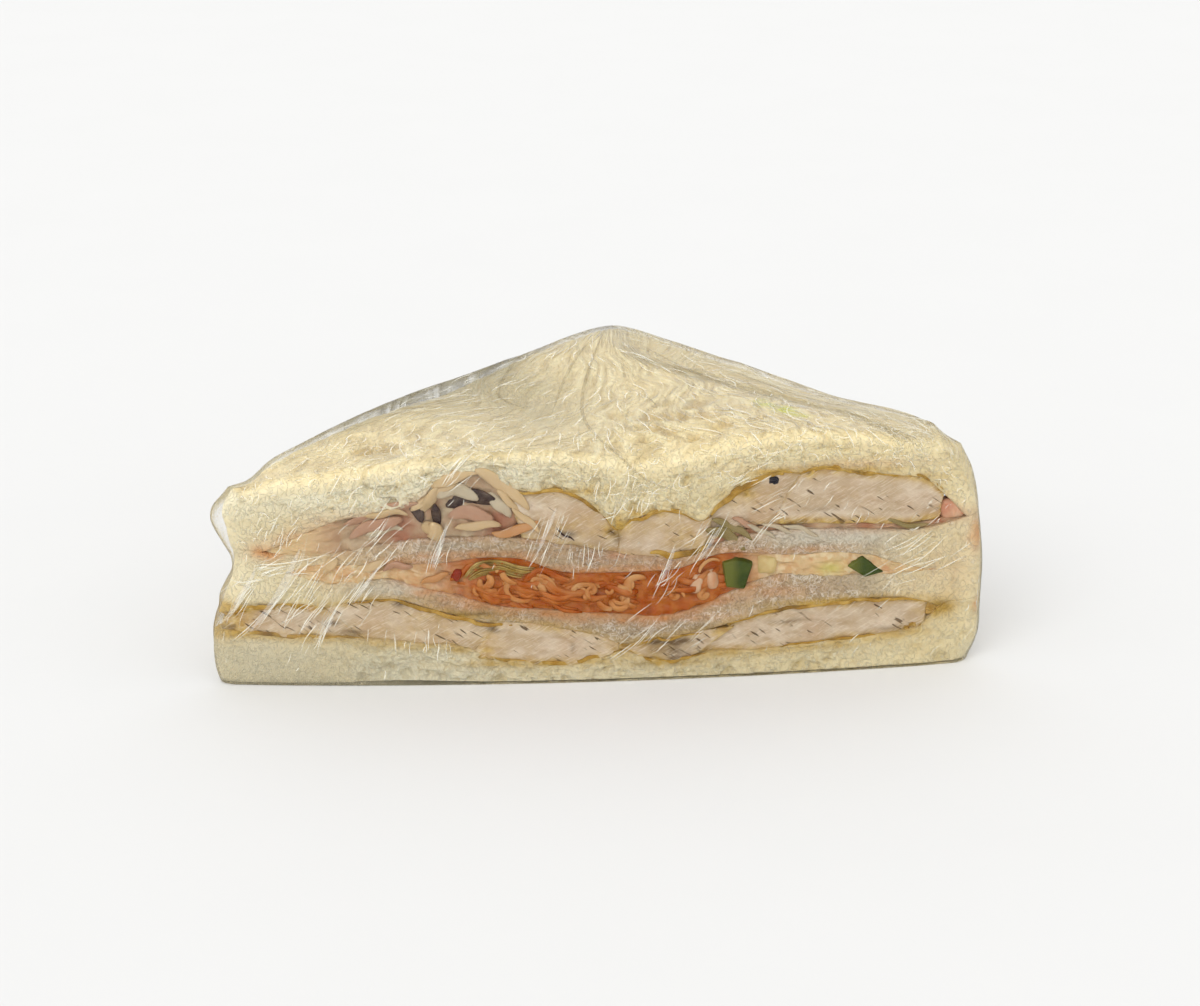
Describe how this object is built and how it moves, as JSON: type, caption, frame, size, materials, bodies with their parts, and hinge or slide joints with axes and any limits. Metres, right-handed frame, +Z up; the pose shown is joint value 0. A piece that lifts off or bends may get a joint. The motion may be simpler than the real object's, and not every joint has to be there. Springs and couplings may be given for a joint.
{
  "type": "tikka sandwich",
  "caption": "Triangular half sandwich of crustless white bread with tikka chicken, slaw and salad fillings, wrapped tightly in clear film and resting flat.",
  "frame": {"origin": "under the middle of the wrapped sandwich's box, on the surface it rests on", "axes": "+X along the long cut face to the right, +Y from the cut face back to the square corner, +Z up"},
  "size_m": [0.148, 0.075, 0.0495],
  "materials": {
    "bread": "soft open white crumb, cream, matt",
    "bread_pressed": "pressed crumb, damp and greyish, with fine pores",
    "chicken": "cooked chicken, pale pink-cream with golden turmeric edges, moist",
    "slaw": "shredded vegetables in orange tikka sauce, wet",
    "green_pepper": "green pepper, darker skin and lighter flesh, wet",
    "corn": "pale yellow kernel",
    "onion": "white onion stained by the sauce",
    "salad": "cream and pink folds of salad with dark purple onion",
    "relish": "thin tomato relish, dull red",
    "tomato": "piece of tomato",
    "film": "clear cling film, glossy, finely wrinkled"
  },
  "bodies": {
    "root": {"bread_1": "bread", "bread_2": "bread_pressed", "bread_3": "bread_pressed", "bread_4": "bread", "chicken_bottom_1": "chicken", "chicken_bottom_2": "chicken", "chicken_bottom_3": "chicken", "chicken_bottom_4": "chicken", "chicken_bottom_5": "chicken", "chicken_top_1": "chicken", "chicken_top_2": "chicken", "chicken_top_3": "chicken", "chicken_top_4": "chicken", "slaw": "slaw", "green_pepper_1": "green_pepper", "green_pepper_2": "green_pepper", "corn_kernel": "corn", "onion_chunk": "onion", "onion_salad": "salad", "tomato_relish": "relish", "tomato_piece": "tomato", "film": "film"}
  },
  "joints": []
}
